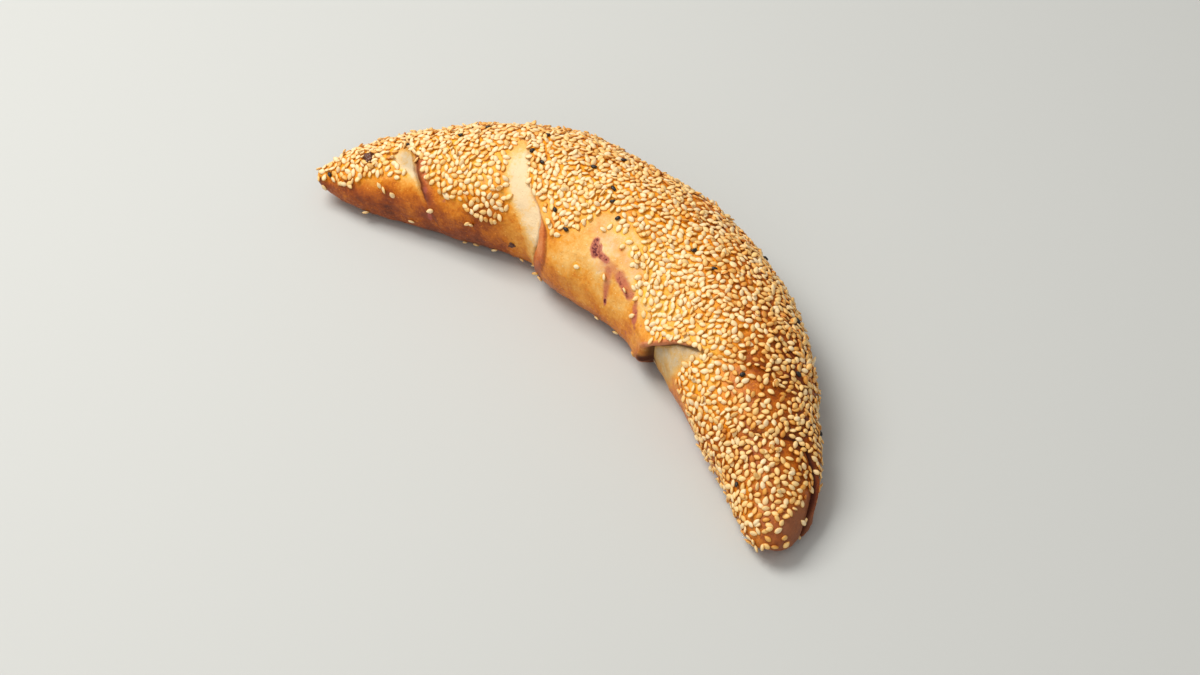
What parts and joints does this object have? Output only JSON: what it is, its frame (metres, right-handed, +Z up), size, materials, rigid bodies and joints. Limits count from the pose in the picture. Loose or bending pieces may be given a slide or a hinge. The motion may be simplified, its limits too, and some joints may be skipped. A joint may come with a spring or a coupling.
{
  "type": "olive pie",
  "caption": "Baked crescent-shaped dough roll with overlapping wraps, tapered tips, a flat base and a crust of sesame seeds.",
  "frame": {"origin": "middle of the bounding box at the flat base, on the surface the pie rests on", "axes": "+Z up, +X along the crescent's length towards the blunter tip, +Y towards the outside of its curve"},
  "size_m": [0.2786, 0.1015, 0.0473],
  "materials": {
    "crust": "baked golden dough, satin, browner on the flanks and paler beside the wraps' edges",
    "sesame": "toasted hulled sesame seeds, ivory to golden tan, slightly glossy",
    "dark_bits": "black nigella seeds and a dark brown chip of olive"
  },
  "bodies": {
    "root": {"olive_pie": "crust"}
  },
  "joints": []
}
